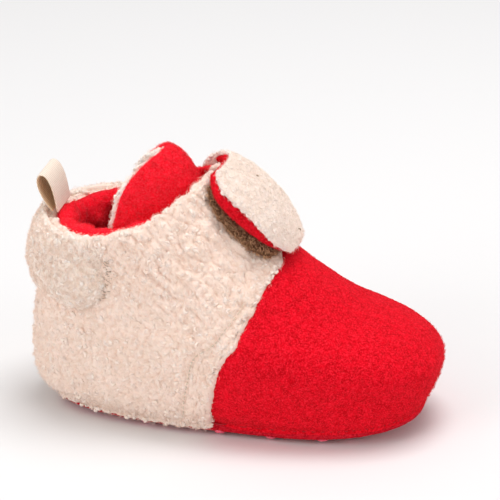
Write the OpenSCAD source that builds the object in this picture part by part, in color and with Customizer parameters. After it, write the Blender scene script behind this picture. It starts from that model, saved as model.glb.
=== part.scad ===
// Baby bootie, right foot. Toe along +X, heel along -X, outer (lateral) side along -Y, +Z up.
// The origin lies on the floor under the middle of the sole. Lengths are in millimetres.

/* [Shape] */
// Heel-to-toe length of the upper
upper_length = 121; // [100:1:140]
// Width across the ball of the foot
ball_width = 61; // [52:1:70]
// Height of the collar at the back of the heel
heel_height = 58; // [50:1:70]
// Height of the collar at the front of the ankle
front_height = 75; // [68:1:84]
// How far the tip of the sole curls up off the floor
toe_spring = 4; // [2:0.5:6]

/* [Layers] */
// Thickness of the curly pile fabric
pile = 3.2; // [2.4:0.1:3.6]
// Thickness of the felted toe fabric
felt = 2; // [1.4:0.1:2.2]
// Thickness of the inside lining
lining = 1.4; // [1:0.1:1.6]
// Thickness of the sole fabric
sole_fabric = 1.4; // [1:0.1:1.8]
// Height of the grip dots
dot_height = 0.6; // [0.4:0.1:1]
// Diameter of the grip dots
dot_diameter = 3; // [2:0.1:4]
// Distance between grip dots
dot_pitch = 7.5; // [6:0.5:10]

/* [Cuff, loop and tongue] */
// How far the heel cuff stands out
cuff_bulge = 4.2; // [3:0.1:5]
// Width of the pull loop's ribbon
loop_width = 14; // [8:0.5:16]
// Height of the pull loop over the collar
loop_height = 11.5; // [9:0.5:15]
// Thickness of the pull loop's ribbon
ribbon = 0.6; // [0.4:0.1:1]
// Half width of the tongue at its top
tongue_half_width = 15; // [12:0.2:15.6]

/* [Closure flap] */
// Angle round the ankle from the instep line to the flap's sewn root
flap_root_angle = 34; // [28:1:38]
// Thickness of the hook tape
tape = 0.8; // [0.6:0.1:1]
// How far the flap's free edge curls up
flap_curl = 2.4; // [1:0.1:3]

/* [Hidden] */

// Gap that keeps neighbouring layers from sharing a face
gap = 0.12;
// Free space between pieces that move against each other
running_gap = 0.45;
// Layers of the upper, as offsets from its outer envelope, outward positive
pile_in = -pile;
core_out = pile_in - gap;
core_in = core_out - 0.9;
lining_out = core_in - gap;
lining_in = lining_out - lining;
felt_out = -0.6;
felt_in = felt_out - felt;
// Height of the sole fabric's underside and of the layers over it
sole_bottom = dot_height;
sole_top = sole_bottom + sole_fabric;
// How far the sole's edge turns up, and the height of the seam that it meets
edge_lift = 1.4;
feather_height = sole_top + edge_lift + 0.1;

// Scales from the proportions below to the chosen sizes
sx = upper_length / 121;
sy = ball_width / 61;
sz_back = heel_height / 58;
sz_front = front_height / 75;

// Stations up the upper, from 0 at the sole to 1 at the collar rim
front_stations = [0, 0.12, 0.26, 0.40, 0.55, 0.70, 0.85, 1];
// Front centre line [x, z]: toe tip, toe cap, instep and front of the collar
front_line = [
    [57 * sx, feather_height + toe_spring], [60 * sx, 13.5 * sz_front],
    [61.2 * sx, 21.5 * sz_front], [54.2 * sx, 28.7 * sz_front], [36.8 * sx, 36.3 * sz_front],
    [20.3 * sx, 47.4 * sz_front], [7.3 * sx, 59 * sz_front], [-5.3 * sx, front_height]
];
back_stations = [0, 0.12, 0.26, 0.50, 0.75, 1];
// Back centre line [x, z]: heel seam from the sole to the collar
back_line = [
    [-52.7 * sx, feather_height], [-59 * sx, 9 * sz_back], [-59.8 * sx, 20 * sz_back],
    [-58.2 * sx, 36.5 * sz_back], [-56.2 * sx, 51 * sz_back], [-56 * sx, heel_height]
];
// Half width, forward flare, squareness and side dip of the loop at each front station
half_widths = [24, 27.6, 30, 29.8, 28.1, 26.1, 24.8, 24.3];
flares = [0.16, 0.11, 0.11, 0.06, 0.03, 0.02, 0, -0.09];
squareness = [2.8, 2.5, 2.4, 2.3, 2.2, 2.17, 2.14, 1.85];
side_dips = [0, 0, 0, 1.4, 2.6, 3.2, 5, 5];

// Seam between toe vamp and quarters: angle from the toe at each station up the upper
seam_stations = [0, 0.10, 0.25, 0.36, 0.42, 0.50, 0.56, 0.62, 0.67, 0.72, 0.75, 1];
seam_angles = [92, 91.5, 90.5, 88.5, 85, 77, 69.5, 59, 48.5, 30, 10, 10];
throat_station = 0.75;
// Free edge of the flap: angle from the instep line, lower end first
flap_low = 0.74;
flap_high = 0.99;
flap_edge_low = 23;
flap_edge_high = 29;

function lerp(a, b, t) = a + (b - a) * t;
function clamp(x, a, b) = min(max(x, a), b);
function smooth(x) = let (s = clamp(x, 0, 1)) s * s * (3 - 2 * s);
function unit(a) = a / norm(a);

// Index of the station interval that holds x
function interval(x, s, i = 0) = i >= len(s) - 2 || x < s[i + 1] ? i : interval(x, s, i + 1);
function slope(s, p, i) =
    i == 0 ? (p[1] - p[0]) / (s[1] - s[0])
    : i == len(s) - 1 ? (p[i] - p[i - 1]) / (s[i] - s[i - 1])
    : (p[i + 1] - p[i - 1]) / (s[i + 1] - s[i - 1]);
// Smooth curve through the values p at the stations s
function curve(s, p, x) =
    let (
        i = interval(x, s),
        w = s[i + 1] - s[i],
        t = (x - s[i]) / w
    )
    (2 * t * t * t - 3 * t * t + 1) * p[i] + (t * t * t - 2 * t * t + t) * w * slope(s, p, i)
    + (3 * t * t - 2 * t * t * t) * p[i + 1] + (t * t * t - t * t) * w * slope(s, p, i + 1);

function power(x, n) = sign(x) * pow(abs(x), n);

// Point on the upper's outer envelope: v up the upper, a round it from the toe (degrees),
// positive on the lateral side
function envelope(v, a) =
    let (
        front = curve(front_stations, front_line, v),
        back = curve(back_stations, back_line, v),
        n = 2 / curve(front_stations, squareness, v),
        c = power(cos(a), n),
        s = power(sin(a), n),
        forward = (1 + c) / 2
    )
    [
        lerp(back[0], front[0], forward),
        -sy * curve(front_stations, half_widths, v) * s * (1 + curve(front_stations, flares, v) * c),
        lerp(back[1], front[1], pow(forward, lerp(6, 1.3, smooth(v / 0.14))))
            - curve(front_stations, side_dips, v) * s * s
    ];

// Outward direction of the envelope
function outward(v, a) =
    let (
        low = clamp(v, 0.01, 0.99),
        up = envelope(low + 0.01, a) - envelope(low - 0.01, a),
        side = envelope(low, a + 1) - envelope(low, a - 1)
    )
    unit(cross(side, up)) * -1;

function skin(v, a, h) = envelope(v, a) + h * outward(v, a);
function seam_angle(v) = curve(seam_stations, seam_angles, v);

// Closed solid between two grids of points with the same rows and columns
module slab(outer, inner) {
    rows = len(outer);
    cols = len(outer[0]);
    total = rows * cols;
    points = concat([for (r = outer) each r], [for (r = inner) each r]);
    faces = concat(
        [for (r = [0 : rows - 2], c = [0 : cols - 2]) each [
            [r * cols + c, r * cols + c + 1, (r + 1) * cols + c + 1],
            [r * cols + c, (r + 1) * cols + c + 1, (r + 1) * cols + c]
        ]],
        [for (r = [0 : rows - 2], c = [0 : cols - 2]) each [
            [total + r * cols + c, total + (r + 1) * cols + c + 1, total + r * cols + c + 1],
            [total + r * cols + c, total + (r + 1) * cols + c, total + (r + 1) * cols + c + 1]
        ]],
        [for (c = [0 : cols - 2]) each wall(c + 1, c, total)],
        [for (c = [0 : cols - 2]) each wall((rows - 1) * cols + c, (rows - 1) * cols + c + 1, total)],
        [for (r = [0 : rows - 2]) each wall(r * cols, (r + 1) * cols, total)],
        [for (r = [0 : rows - 2]) each wall((r + 2) * cols - 1, (r + 1) * cols - 1, total)]
    );
    polyhedron(points, faces, convexity = 8);
}
function wall(i, j, total) = [[i, j, total + j], [i, total + j, total + i]];

// Closed solid inside a stack of closed loops of points, capped at both ends
module stack(loops) {
    n = len(loops[0]);
    last = (len(loops) - 1) * n;
    points = [for (l = loops) each l];
    faces = concat(
        [for (r = [0 : len(loops) - 2], c = [0 : n - 1]) each [
            [r * n + c, (r + 1) * n + (c + 1) % n, r * n + (c + 1) % n],
            [r * n + c, (r + 1) * n + c, (r + 1) * n + (c + 1) % n]
        ]],
        [[for (c = [0 : n - 1]) c]],
        [[for (c = [n - 1 : -1 : 0]) last + c]]
    );
    polyhedron(points, faces, convexity = 8);
}

// Grids of points at one offset: a quarter on one side, the vamp, and a plain band
function quarter_grid(side, h, v_low, v_high, rows, cols) =
    [for (r = [0 : rows]) let (v = lerp(v_low, v_high, r / rows))
        [for (c = [0 : cols]) let (
            start = seam_angle(v) + 0.4,
            a = lerp(start, 179.7, pow(c / cols, 0.9))
        ) skin(v, side * a, h)]];
function vamp_grid(h, v_low, v_high, rows, cols) =
    [for (r = [0 : rows]) let (v = lerp(v_low, v_high, r / rows))
        [for (c = [-cols : cols]) skin(v, (seam_angle(v) - 0.4) * c / cols, h)]];
function band_grid(h, v_low, v_high, a_low, a_high, rows, cols) =
    [for (r = [0 : rows]) [for (c = [0 : cols])
        skin(lerp(v_low, v_high, r / rows), lerp(a_low, a_high, c / cols), h)]];
function flip(grid) = [for (r = grid) [for (c = [len(r) - 1 : -1 : 0]) r[c]]];

module toe_vamp() {
    color([0.85, 0.06, 0.13])
        slab(vamp_grid(felt_out, 0, throat_station, 14, 14), vamp_grid(felt_in, 0, throat_station, 14, 14));
}

module vamp_padding() {
    color([0.93, 0.93, 0.9])
        slab(vamp_grid(felt_in - 0.3, 0.08, 0.7, 10, 10), vamp_grid(core_in + 0.2, 0.08, 0.7, 10, 10));
}

module vamp_lining() {
    color([0.75, 0.05, 0.1])
        slab(vamp_grid(lining_out, 0, throat_station, 12, 11), vamp_grid(lining_in, 0, throat_station, 12, 11));
}

module quarter(side, out, in, v_low, v_high, rows, cols) {
    outer = quarter_grid(side, out, v_low, v_high, rows, cols);
    inner = quarter_grid(side, in, v_low, v_high, rows, cols);
    if (side > 0) slab(outer, inner);
    else slab(flip(outer), flip(inner));
}

module lateral_quarter() {
    color([0.95, 0.87, 0.79]) quarter(1, 0, pile_in, 0, 1, 16, 16);
}

module medial_quarter() {
    color([0.93, 0.85, 0.77]) quarter(-1, 0, pile_in, 0, 1, 16, 16);
}

module lateral_lining() {
    color([0.8, 0.05, 0.12]) quarter(1, lining_out, lining_in, 0, 1, 12, 12);
}

module medial_lining() {
    color([0.78, 0.05, 0.12]) quarter(-1, lining_out, lining_in, 0, 1, 12, 12);
}

// Stiffener between pile and lining round the back of the heel
module heel_counter() {
    color([0.88, 0.85, 0.78])
        slab(band_grid(core_out - 0.1, 0.06, 0.58, 128, 232, 8, 14),
             band_grid(core_in + 0.15, 0.06, 0.58, 128, 232, 8, 14));
}

// Elastic band between pile and lining that gathers the ankle under the cuff
module ankle_elastic() {
    color([0.96, 0.96, 0.94])
        slab(band_grid(core_out - 0.25, 0.64, 0.78, 106, 254, 3, 28),
             band_grid(core_in + 0.1, 0.64, 0.78, 106, 254, 3, 28));
}

// Puffed roll of folded pile round the back of the collar
cuff_low = 0.53;
function cuff_end(v) = lerp(128, 101, pow(clamp((v - cuff_low) / 0.4, 0, 1), 0.5));
function cuff_height(v, s) =
    0.4 + (cuff_bulge - 0.4) * pow(sin(180 * s), 0.4)
    * pow(sin(180 * clamp((v - cuff_low + 0.02) / 0.51, 0.06, 0.94)), 0.6);
function cuff_grid(raised) =
    [for (r = [0 : 8]) [for (c = [0 : 24]) let (
        v = lerp(cuff_low, 1, r / 8),
        a = lerp(cuff_end(v), 360 - cuff_end(v), c / 24)
    ) skin(v, a, raised ? gap + cuff_height(v, c / 24) : gap)]];
module heel_cuff() {
    color([0.97, 0.9, 0.82]) slab(cuff_grid(true), cuff_grid(false));
}

// Binding over the heel seam, inside
module heel_seam_tape() {
    color([0.7, 0.04, 0.1])
        slab(band_grid(lining_in - 0.25, 0.1, 0.97, 174, 186, 10, 2),
             band_grid(lining_in - 0.75, 0.1, 0.97, 174, 186, 10, 2));
}

// Middle of the sole's outline and its half length
sole_middle = (front_line[0][0] + back_line[0][0]) / 2;
sole_half = (front_line[0][0] - back_line[0][0]) / 2;
// How far out x, y lies on the sole: 0 in the middle, 1 on its outline
function sole_reach(x, y) =
    let (
        c = (x - sole_middle) / sole_half,
        s = y / (sy * half_widths[0] * (1 + flares[0] * clamp(c, -1, 1))),
        n = squareness[0]
    )
    pow(pow(abs(c), n) + pow(abs(s), n), 1 / n);
// Rise of the sole over the floor: the toe curls up, and the edge turns up all round
function sole_rise(x, reach) =
    toe_spring * pow(clamp((x - 18 * sx) / (39.5 * sx), 0, 1.15), 2)
    + edge_lift * pow(clamp((reach - 0.8) / 0.2, 0, 1.1), 2);
// Reaches of the rings that make the sole's layers; the footbed uses the first three
sole_reaches = [0.12, 0.45, 0.74, 0.87, 0.95];
footbed_rings = 3;
// Closed loop on a sole layer at reach r
function sole_ring(r, z) =
    [for (i = [0 : 47]) let (
        edge = envelope(0, i * 7.5),
        x = lerp(sole_middle, edge[0], r)
    ) [x, edge[1] * r, z + sole_rise(x, r)]];
function rim_ring(v, h) = [for (i = [0 : 47]) skin(v, i * 7.5, h)];

module outsole() {
    color([0.72, 0.05, 0.11])
        stack(concat(
            [for (r = sole_reaches) sole_ring(r, sole_top)],
            [sole_ring(0.985, sole_top - 0.1), rim_ring(0.02, 0.15), rim_ring(0.025, 0.7), sole_ring(1.02, sole_bottom)],
            [for (i = [len(sole_reaches) - 1 : -1 : 0]) sole_ring(sole_reaches[i], sole_bottom)]
        ));
}

module footbed(bottom, top) {
    stack(concat(
        [for (i = [0 : footbed_rings - 1]) sole_ring(sole_reaches[i], top)],
        [for (i = [footbed_rings - 1 : -1 : 0]) sole_ring(sole_reaches[i], bottom)]
    ));
}

module insole_foam() {
    color([0.95, 0.93, 0.85]) footbed(sole_top + gap, sole_top + 2.8);
}

module sock_liner() {
    color([0.8, 0.06, 0.13]) footbed(sole_top + 2.8 + gap, sole_top + 4.2);
}

// Point on the sole's underside and the direction that it faces
function underside(x, y) = [x, y, sole_bottom + sole_rise(x, sole_reach(x, y))];
function underside_out(x, y) =
    unit(cross(underside(x, y + 0.2) - underside(x, y - 0.2), underside(x + 0.2, y) - underside(x - 0.2, y)));

// Dots cover the underside as far as its turned-up rim
module grip_dots() {
    color([0.95, 0.35, 0.45])
        for (i = [-7 : 7], j = [-4 : 4]) {
            x = i * dot_pitch;
            y = (j + (i % 2 == 0 ? 0 : 0.5)) * dot_pitch;
            if (sole_reach(x, y) < 1.03 - dot_diameter / 55) {
                base = underside(x, y);
                out = underside_out(x, y);
                // A tilted dot is cut short by as much as its low edge would pass the floor
                dip = max(dot_diameter / 2 * norm([out[0], out[1]]) - base[2] + sole_bottom, 0);
                stitch(base + 0.02 * out, base + (dot_height - dip) * out, dot_diameter);
            }
        }
}

// Ribbon of the pull loop, seen from the side as [x, z]: up the front leaf and down the back leaf
loop_pivot = [-51 * sx, 0, heel_height + 0.9];
function loop_outline(t) =
    let (
        bow = 3.3 * pow(sin(180 * pow(t, 1.35)), 0.8),
        rise = loop_height * sin(180 * t)
    )
    [cos(180 * t) * 0.9 - 0.35 * rise + bow * cos(180 * t) - 0.4, rise];
function loop_normal(t) = let (d = loop_outline(t + 0.004) - loop_outline(t - 0.004)) unit([d[1], -d[0]]);
module heel_loop() {
    steps = 28;
    stations = [for (i = [0 : steps]) lerp(0.012, 0.988, i / steps)];
    outer = [for (t = stations) loop_outline(t)];
    inner = [for (i = [steps : -1 : 0]) loop_outline(stations[i]) - ribbon * loop_normal(stations[i])];
    color([0.88, 0.8, 0.7])
        translate([loop_pivot[0], loop_width / 2, loop_pivot[2]]) rotate([90, 0, 0])
            linear_extrude(height = loop_width) polygon(concat(outer, inner));
}

// Tongue: a trough that lies behind the collar and leans back over the opening
tongue_stations = [0, 0.35, 0.65, 0.82, 0.92, 1];
tongue_line = [
    [12.5 * sx, 42.5 * sz_front], [1.5 * sx, 53 * sz_front], [-5.9 * sx, 64.9 * sz_front],
    [-10.7 * sx, 72.6 * sz_front], [-15.8 * sx, 78.6 * sz_front], [-22 * sx, 80 * sz_front]
];
function tongue_point(a, w, h) =
    let (
        c = curve(tongue_stations, tongue_line, w),
        along = unit(tongue_line[3] - tongue_line[0]),
        out = [along[1], -along[0]],
        half = lerp(9, tongue_half_width, smooth(w * 1.6)) * sy,
        depth = lerp(7, 37, smooth(w * 1.25)),
        d = curve(tongue_stations, tongue_line, min(w + 0.02, 1)) - curve(tongue_stations, tongue_line, w - 0.02),
        front = unit([d[1], -d[0]]),
        radial = unit([sin(a) / half, cos(a) / depth])
    )
    [
        c[0] - depth * (1 - cos(a)) * out[0] + h * radial[1] * front[0],
        -half * sin(a) - h * radial[0],
        c[1] - depth * (1 - cos(a)) * out[1] + h * radial[1] * front[1]
    ];
// Grid over the tongue: its top corners are rounded and margin shrinks its free edges
function tongue_grid(h, margin) =
    [for (r = [0 : 12]) [for (c = [-9 : 9]) let (
        a = (82 - margin * 3) * c / 9,
        top = 1 - margin / 60 - 0.16 * pow(abs(c) / 9, 4)
    ) tongue_point(a, top * r / 12, h)]];

module tongue_outer() {
    color([0.88, 0.08, 0.15]) slab(tongue_grid(0, 1.3), tongue_grid(-1.5, 1.3));
}

module tongue_padding() {
    color([0.94, 0.93, 0.9]) slab(tongue_grid(-1.8, 2.4), tongue_grid(-2.5, 2.4));
}

module tongue_lining() {
    color([0.96, 0.89, 0.81]) slab(tongue_grid(-3, 0), tongue_grid(-4.4, 0));
}

// Closure flap over the instep: s runs from the sewn root (0) to the free edge (1), u up the instep.
// It bridges the hollow of the instep, so its underside leaves the upper between its two ends.
function flap_angle(v, s) =
    lerp(-flap_root_angle, lerp(flap_edge_low, flap_edge_high, (v - flap_low) / (flap_high - flap_low)), s);
function flap_reach(u, s) = s * (1 - 0.16 * pow(abs(2 * u - 1), 4));
function flap_on_upper(u, s, h) =
    let (v = lerp(flap_low, flap_high, u)) skin(v, flap_angle(v, flap_reach(u, s)), h);
function flap_bridge(u, s, h) =
    let (
        reach = flap_reach(u, s),
        low = skin(flap_low, flap_angle(flap_low, reach), h),
        high = skin(flap_high, flap_angle(flap_high, reach), h),
        crown = (1.2 + flap_curl * pow(clamp(s, 0, 1), 2)) * sin(180 * u)
    )
    lerp(low, high, u) + crown * outward(0.87, flap_angle(0.87, s));
flap_tape_out = running_gap + tape;
flap_lining_out = flap_tape_out + gap + lining;
flap_rows = 10;
flap_cols = 12;
function flap_grid(h, s_high, bridged) =
    [for (r = [0 : flap_rows]) [for (c = [0 : flap_cols]) let (u = r / flap_rows, s = s_high * c / flap_cols)
        bridged ? flap_bridge(u, s, h) : flap_on_upper(u, s, h)]];
// Pile layer thickness: thin at the flap's two ends, full in the middle
function flap_pile_grid() =
    [for (r = [0 : flap_rows]) [for (c = [0 : flap_cols]) let (u = r / flap_rows, s = c / flap_cols)
        flap_bridge(u, s, flap_lining_out + gap + pile * (0.35 + 0.65 * pow(sin(180 * clamp(u, 0.04, 0.96)), 0.7)
            * pow(sin(90 * clamp(1.06 - s, 0, 1)), 0.25)))]];

module closure_flap() {
    color([0.98, 0.93, 0.87]) slab(flap_pile_grid(), flap_grid(flap_lining_out + gap, 1, true));
}

module flap_lining() {
    color([0.85, 0.06, 0.13]) slab(flap_grid(flap_lining_out, 1.05, true), flap_grid(flap_tape_out + gap, 1.05, false));
}

module hook_tape() {
    rows = [for (r = [0 : 10]) lerp(0.1, 0.94, r / 10)];
    color([0.45, 0.32, 0.22])
        slab([for (u = rows) [for (c = [0 : 4]) flap_on_upper(u, lerp(0.66, 1.17, c / 4), flap_tape_out)]],
             [for (u = rows) [for (c = [0 : 4]) flap_on_upper(u, lerp(0.66, 1.17, c / 4), running_gap)]]);
}

// Row of stitches along the upper: each is a short thread between two points of a path
module stitch(from, to, d) {
    v = to - from;
    translate(from) rotate([0, acos(v[2] / norm(v)), atan2(v[1], v[0])])
        cylinder(h = norm(v), d = d, $fn = 24);
}

module sole_seam_thread() {
    color([0.6, 0.03, 0.08])
        for (i = [0 : 59])
            stitch(skin(0.03, i * 6, 0.35), skin(0.03, i * 6 + 3.6, 0.35), 0.5);
}

module vamp_topstitch() {
    color([0.93, 0.86, 0.78])
        for (side = [-1, 1], i = [0 : 15]) {
            v = lerp(0.1, 0.64, i / 15);
            stitch(skin(v, side * (seam_angle(v) + 5), 0.3),
                   skin(v + 0.022, side * (seam_angle(v + 0.022) + 5), 0.3), 0.45);
        }
}

module elastic_tacks() {
    color([0.8, 0.72, 0.6])
        for (side = [-1, 1], i = [0 : 5]) {
            v = lerp(0.66, 0.88, i / 5);
            stitch(skin(v, side * (cuff_end(v) - 1.5), 0.3),
                   skin(v + 0.028, side * (cuff_end(v + 0.028) - 1.5), 0.3), 0.5);
        }
}

module flap_stitches() {
    color([0.6, 0.52, 0.42])
        for (p = [[0.07, 0.7], [0.72, 0.62]])
            stitch(flap_bridge(p[0], p[1], flap_lining_out + pile + 0.3),
                   flap_bridge(p[0] + 0.03, p[1], flap_lining_out + pile + 0.3), 0.5);
}

outsole();
grip_dots();
insole_foam();
sock_liner();
toe_vamp();
vamp_padding();
vamp_lining();
lateral_quarter();
medial_quarter();
lateral_lining();
medial_lining();
heel_counter();
ankle_elastic();
heel_cuff();
heel_seam_tape();
heel_loop();
tongue_outer();
tongue_padding();
tongue_lining();
closure_flap();
flap_lining();
hook_tape();
sole_seam_thread();
vamp_topstitch();
elastic_tacks();
flap_stitches();
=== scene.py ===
import math

import bpy
import numpy as np
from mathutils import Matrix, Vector


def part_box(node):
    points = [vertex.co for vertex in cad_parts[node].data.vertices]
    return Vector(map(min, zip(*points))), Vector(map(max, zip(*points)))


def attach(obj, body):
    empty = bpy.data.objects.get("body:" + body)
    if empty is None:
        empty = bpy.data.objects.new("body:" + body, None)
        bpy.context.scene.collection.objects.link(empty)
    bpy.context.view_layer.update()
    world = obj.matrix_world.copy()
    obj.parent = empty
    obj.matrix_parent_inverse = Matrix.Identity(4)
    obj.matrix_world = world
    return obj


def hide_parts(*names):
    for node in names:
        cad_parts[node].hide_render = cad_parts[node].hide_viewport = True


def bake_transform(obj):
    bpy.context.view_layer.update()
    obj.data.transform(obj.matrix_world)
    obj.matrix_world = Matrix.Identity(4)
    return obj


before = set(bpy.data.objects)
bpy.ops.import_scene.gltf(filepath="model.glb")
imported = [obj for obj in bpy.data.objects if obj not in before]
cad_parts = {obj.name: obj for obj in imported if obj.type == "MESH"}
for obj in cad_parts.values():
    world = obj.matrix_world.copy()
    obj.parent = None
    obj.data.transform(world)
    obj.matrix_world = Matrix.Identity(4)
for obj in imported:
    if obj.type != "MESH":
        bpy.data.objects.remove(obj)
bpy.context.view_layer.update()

# ---------------------------------------------------------------- sizes
# The frame is in metres. Everything below is in millimetres until build() makes a mesh of it.
MM = 0.001
# Length, half width and height of the upper (metres) that the outlines are drawn for.
DRAWN_LENGTH, DRAWN_HALF_WIDTH, DRAWN_HEIGHT = 0.1209, 0.0302, 0.0747
heel_edge, side_edge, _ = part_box("lateral_quarter")[0]
collar_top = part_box("lateral_quarter")[1][2]
toe_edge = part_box("toe_vamp")[1][0]
SX = (toe_edge - heel_edge) / DRAWN_LENGTH
SY = -side_edge / DRAWN_HALF_WIDTH
SZ = collar_top / DRAWN_HEIGHT

# Heights are measured outward from the skin of the upper: the sherpa's backing lies PILE below it.
PILE = 3.2
GAP = 0.12
FELT_OUT, FELT_THICK = -0.6, 2.0
LINING_OUT, LINING_IN = -4.34, -5.74
ROLL = 2.1
HEM = 1.7

SOLE_BOTTOM, SOLE_TOP = 0.6, 2.0
EDGE_LIFT = 1.4
TOE_SPRING = 4.0
FEATHER = SOLE_TOP + EDGE_LIFT + 0.1

# Stations run from the sole (0) to the collar (1), lines hold (x, z), angles are degrees round from the toe.
front_stations = [0, 0.12, 0.26, 0.40, 0.55, 0.70, 0.85, 1]
front_line = [
    (57, FEATHER + TOE_SPRING), (60, 13.5), (61.2, 21.5), (54.2, 28.7),
    (36.8, 36.3), (20.3, 47.4), (7.3, 59), (-5.3, 75),
]
back_stations = [0, 0.12, 0.26, 0.50, 0.75, 1]
back_line = [(-52.7, FEATHER), (-59, 9), (-59.8, 20), (-58.2, 36.5), (-56.2, 51), (-56, 58)]
half_widths = [24, 27.6, 30, 29.8, 28.1, 26.1, 24.8, 24.3]
flares = [0.16, 0.11, 0.11, 0.06, 0.03, 0.02, 0, -0.09]
squareness = [2.8, 2.5, 2.4, 2.3, 2.2, 2.17, 2.14, 1.85]
side_dips = [0, 0, 0, 1.4, 2.6, 3.2, 5, 5]
seam_stations = [0, 0.10, 0.25, 0.36, 0.42, 0.50, 0.56, 0.62, 0.67, 0.72, 0.75, 1]
seam_angles = [92, 91.5, 90.5, 88.5, 85, 77, 69.5, 59, 48.5, 30, 10, 10]
tongue_stations = [0, 0.35, 0.65, 0.82, 0.92, 1]
tongue_line = [(12.5, 42.5), (1.5, 53), (-5.9, 64.9), (-10.7, 72.6), (-15.8, 78.6), (-22, 80)]
COLLAR_SEAM = 10.0
CUFF_LOW = 0.53
FLAP_LOW, FLAP_HIGH, FLAP_MIDDLE = 0.74, 0.99, 0.87
ROOT_ANGLE = -34.0
TAPE_BASE, TAPE_THICK = 0.45, 0.8
TAPE_OUT = TAPE_BASE + TAPE_THICK
FLAP_LINING = 1.4
FLAP_LINING_OUT = TAPE_OUT + GAP + FLAP_LINING


def lerp(a, b, t):
    return a + (b - a) * t


def smooth(x):
    s = np.clip(x, 0, 1)
    return s * s * (3 - 2 * s)


def unit(p):
    return p / np.maximum(np.linalg.norm(p, axis=-1, keepdims=True), 1e-9)


def curve(stations, values, x):
    """Smooth curve through the values at the stations, for an array of x."""
    s = np.array(stations, float)
    p = np.array(values, float)
    slopes = np.empty_like(p)
    column = (-1,) + (1,) * (p.ndim - 1)
    slopes[1:-1] = (p[2:] - p[:-2]) / (s[2:] - s[:-2]).reshape(column)
    slopes[0] = (p[1] - p[0]) / (s[1] - s[0])
    slopes[-1] = (p[-1] - p[-2]) / (s[-1] - s[-2])
    x = np.asarray(x, float)
    i = np.clip(np.searchsorted(s, x, side="right") - 1, 0, len(s) - 2)
    w = s[i + 1] - s[i]
    t = (x - s[i]) / w
    if p.ndim == 2:
        t, w = t[..., None], w[..., None]
    return (
        (2 * t**3 - 3 * t**2 + 1) * p[i] + (t**3 - 2 * t**2 + t) * w * slopes[i]
        + (3 * t**2 - 2 * t**3) * p[i + 1] + (t**3 - t**2) * w * slopes[i + 1]
    )


def envelope(v, a):
    """Outer skin of the upper: v runs from the sole to the collar, a is the angle round from the toe."""
    v, a = np.broadcast_arrays(np.asarray(v, float), np.radians(a))
    front = curve(front_stations, front_line, v)
    back = curve(back_stations, back_line, v)
    n = 2 / curve(front_stations, squareness, v)
    c = np.sign(np.cos(a)) * np.abs(np.cos(a)) ** n
    s = np.sign(np.sin(a)) * np.abs(np.sin(a)) ** n
    forward = (1 + c) / 2
    power = lerp(6, 1.3, smooth(v / 0.14))
    x = lerp(back[..., 0], front[..., 0], forward)
    y = -curve(front_stations, half_widths, v) * s * (1 + curve(front_stations, flares, v) * c)
    z = lerp(back[..., 1], front[..., 1], forward**power) - curve(front_stations, side_dips, v) * s * s
    return np.stack([x * SX, y * SY, z * SZ], axis=-1)


def outward(v, a):
    """Unit normal of the skin."""
    low = np.clip(v, 0.01, 0.99)
    up = envelope(low + 0.01, a) - envelope(low - 0.01, a)
    side = envelope(low, np.asarray(a) + 1) - envelope(low, np.asarray(a) - 1)
    return -unit(np.cross(side, up))


def skin(v, a, h):
    """Points at height h over the skin."""
    v, a, h = np.broadcast_arrays(np.asarray(v, float), np.asarray(a, float), np.asarray(h, float))
    return envelope(v, a) + h[..., None] * outward(v, a)


def seam_angle(v):
    return curve(seam_stations, seam_angles, v)


# ---------------------------------------------------------------- noise
table = np.random.default_rng(11)
PERM = table.permutation(256)
GRAD = unit(table.normal(size=(256, 3)))


def cell(i):
    """Index of the gradient at a corner of the noise lattice."""
    x, y, z = (i[..., k].astype(np.int64) & 255 for k in range(3))
    return PERM[(PERM[(PERM[x] + y) & 255] + z) & 255]


def noise(p):
    """Gradient noise, about -0.7 to 0.7, one cell per unit."""
    i = np.floor(p)
    f = p - i
    u = f * f * f * (f * (f * 6 - 15) + 10)
    total = np.zeros(p.shape[:-1])
    for corner in np.ndindex(2, 2, 2):
        c = np.array(corner)
        g = GRAD[cell(i + c)]
        weight = np.prod(np.where(c == 1, u, 1 - u), axis=-1)
        total += weight * np.sum(g * (f - c), axis=-1)
    return total


def tufts(p, size):
    """Height of curly pile, 0 to about 1: puffs with sharp creases between them, and curls on the puffs."""
    warp = np.stack([noise(p / 2.2 + 17 * k) for k in range(3)], axis=-1)
    q = p + 0.9 * warp
    puffs = np.abs(noise(q / size)) ** 0.7
    curls = np.abs(noise(q / (0.5 * size) + 5)) ** 0.7
    crimp = np.abs(noise(q / (0.26 * size) + 9))
    return np.clip(0.9 * puffs + 0.65 * curls + 0.35 * crimp, 0, 1.2)


def spread(start, columns, last=180.0):
    """Angles from start to last: evenly spaced columns, with those short of start pressed against it."""
    first, width = 8.0, 5.0
    even = lerp(first, last, np.linspace(0, 1, columns))[None, :]
    pressed = width * np.logaddexp(0, (even - start) / width)
    ramp = 0.02 * np.arange(columns)[None, :]
    full = width * np.logaddexp(0, (last - start) / width)
    return start + np.minimum(pressed / full * (last - start - 0.02 * columns), last) + ramp


# ---------------------------------------------------------------- meshes
def grid_faces(rows, cols, offset=0, turned=False):
    """Quads of a grid whose first point has the index offset."""
    r, c = np.mgrid[0 : rows - 1, 0 : cols - 1]
    i = (r * cols + c).ravel() + offset
    f = np.stack([i, i + 1, i + cols + 1, i + cols], axis=-1)
    return f[:, ::-1] if turned else f


def tube_faces(rows, cols):
    """Quads between rows of points that are closed loops."""
    r, c = np.mgrid[0 : rows - 1, 0:cols]
    d = (c + 1) % cols
    i, j = r * cols, (r + 1) * cols
    return np.stack([i + c, j + c, j + d, i + d], axis=-1).reshape(-1, 4)


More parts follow.
